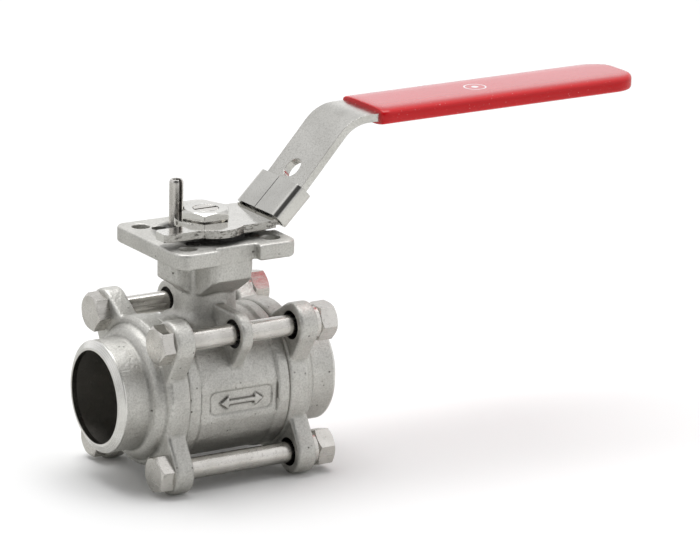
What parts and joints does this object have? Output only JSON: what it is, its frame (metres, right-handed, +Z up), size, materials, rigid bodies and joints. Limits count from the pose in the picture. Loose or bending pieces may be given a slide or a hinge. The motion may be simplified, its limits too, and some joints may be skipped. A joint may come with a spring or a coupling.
{
  "type": "ball valve",
  "caption": "Three-piece full-port ball valve with butt-weld ends, a drilled actuator pad, and a cranked locking lever with a sleeved grip that turns a quarter turn.",
  "frame": {"origin": "centre of the ball, on the pipe's axis and the stem's axis", "axes": "+X along the pipe, the way the lever points when the valve is open; +Z up along the stem"},
  "size_m": [0.2347, 0.0666, 0.1342],
  "materials": {
    "cast_stainless": "bead-blasted satin casting",
    "machined_stainless": "fine turned",
    "polished_stainless": "mirror polished",
    "bright_fasteners": "bright rolled stainless",
    "white_ptfe": "smooth matte",
    "black_rubber": "smooth",
    "red_vinyl": "glossy dipped vinyl"
  },
  "bodies": {
    "valve_body": {"body_center": "cast_stainless", "left_end_cap": "cast_stainless", "right_end_cap": "cast_stainless", "seat_ring_left": "white_ptfe", "seat_ring_right": "white_ptfe", "body_gasket_left": "white_ptfe", "body_gasket_right": "white_ptfe", "stem_thrust_washer": "white_ptfe", "packing_ring_lower": "white_ptfe", "packing_ring_middle": "white_ptfe", "packing_ring_upper": "white_ptfe", "gland_ring": "machined_stainless", "disc_spring_lower": "machined_stainless", "disc_spring_upper": "machined_stainless", "gland_nut": "machined_stainless", "stop_pin": "bright_fasteners", "body_bolts": "bright_fasteners", "spring_washers": "bright_fasteners", "bolt_nuts": "bright_fasteners"},
    "handle": {"lever": "polished_stainless", "grip_sleeve": "red_vinyl", "stem_nut": "bright_fasteners", "stem_washer": "bright_fasteners", "stem": "machined_stainless", "stem_o_ring": "black_rubber", "ball": "polished_stainless"},
    "lock": {"lock_slide": "polished_stainless"}
  },
  "joints": [
    {"name": "lever_turn", "type": "hinge", "parent": "valve_body", "child": "handle", "pos_m": [0, 0, 0.0619], "axis": [0, 0, 1], "range_deg": [-90, 0]},
    {"name": "lock_travel", "type": "slide", "parent": "handle", "child": "lock", "axis": [0.6639, 0, 0.7478], "range_m": [0, 0.025]}
  ]
}
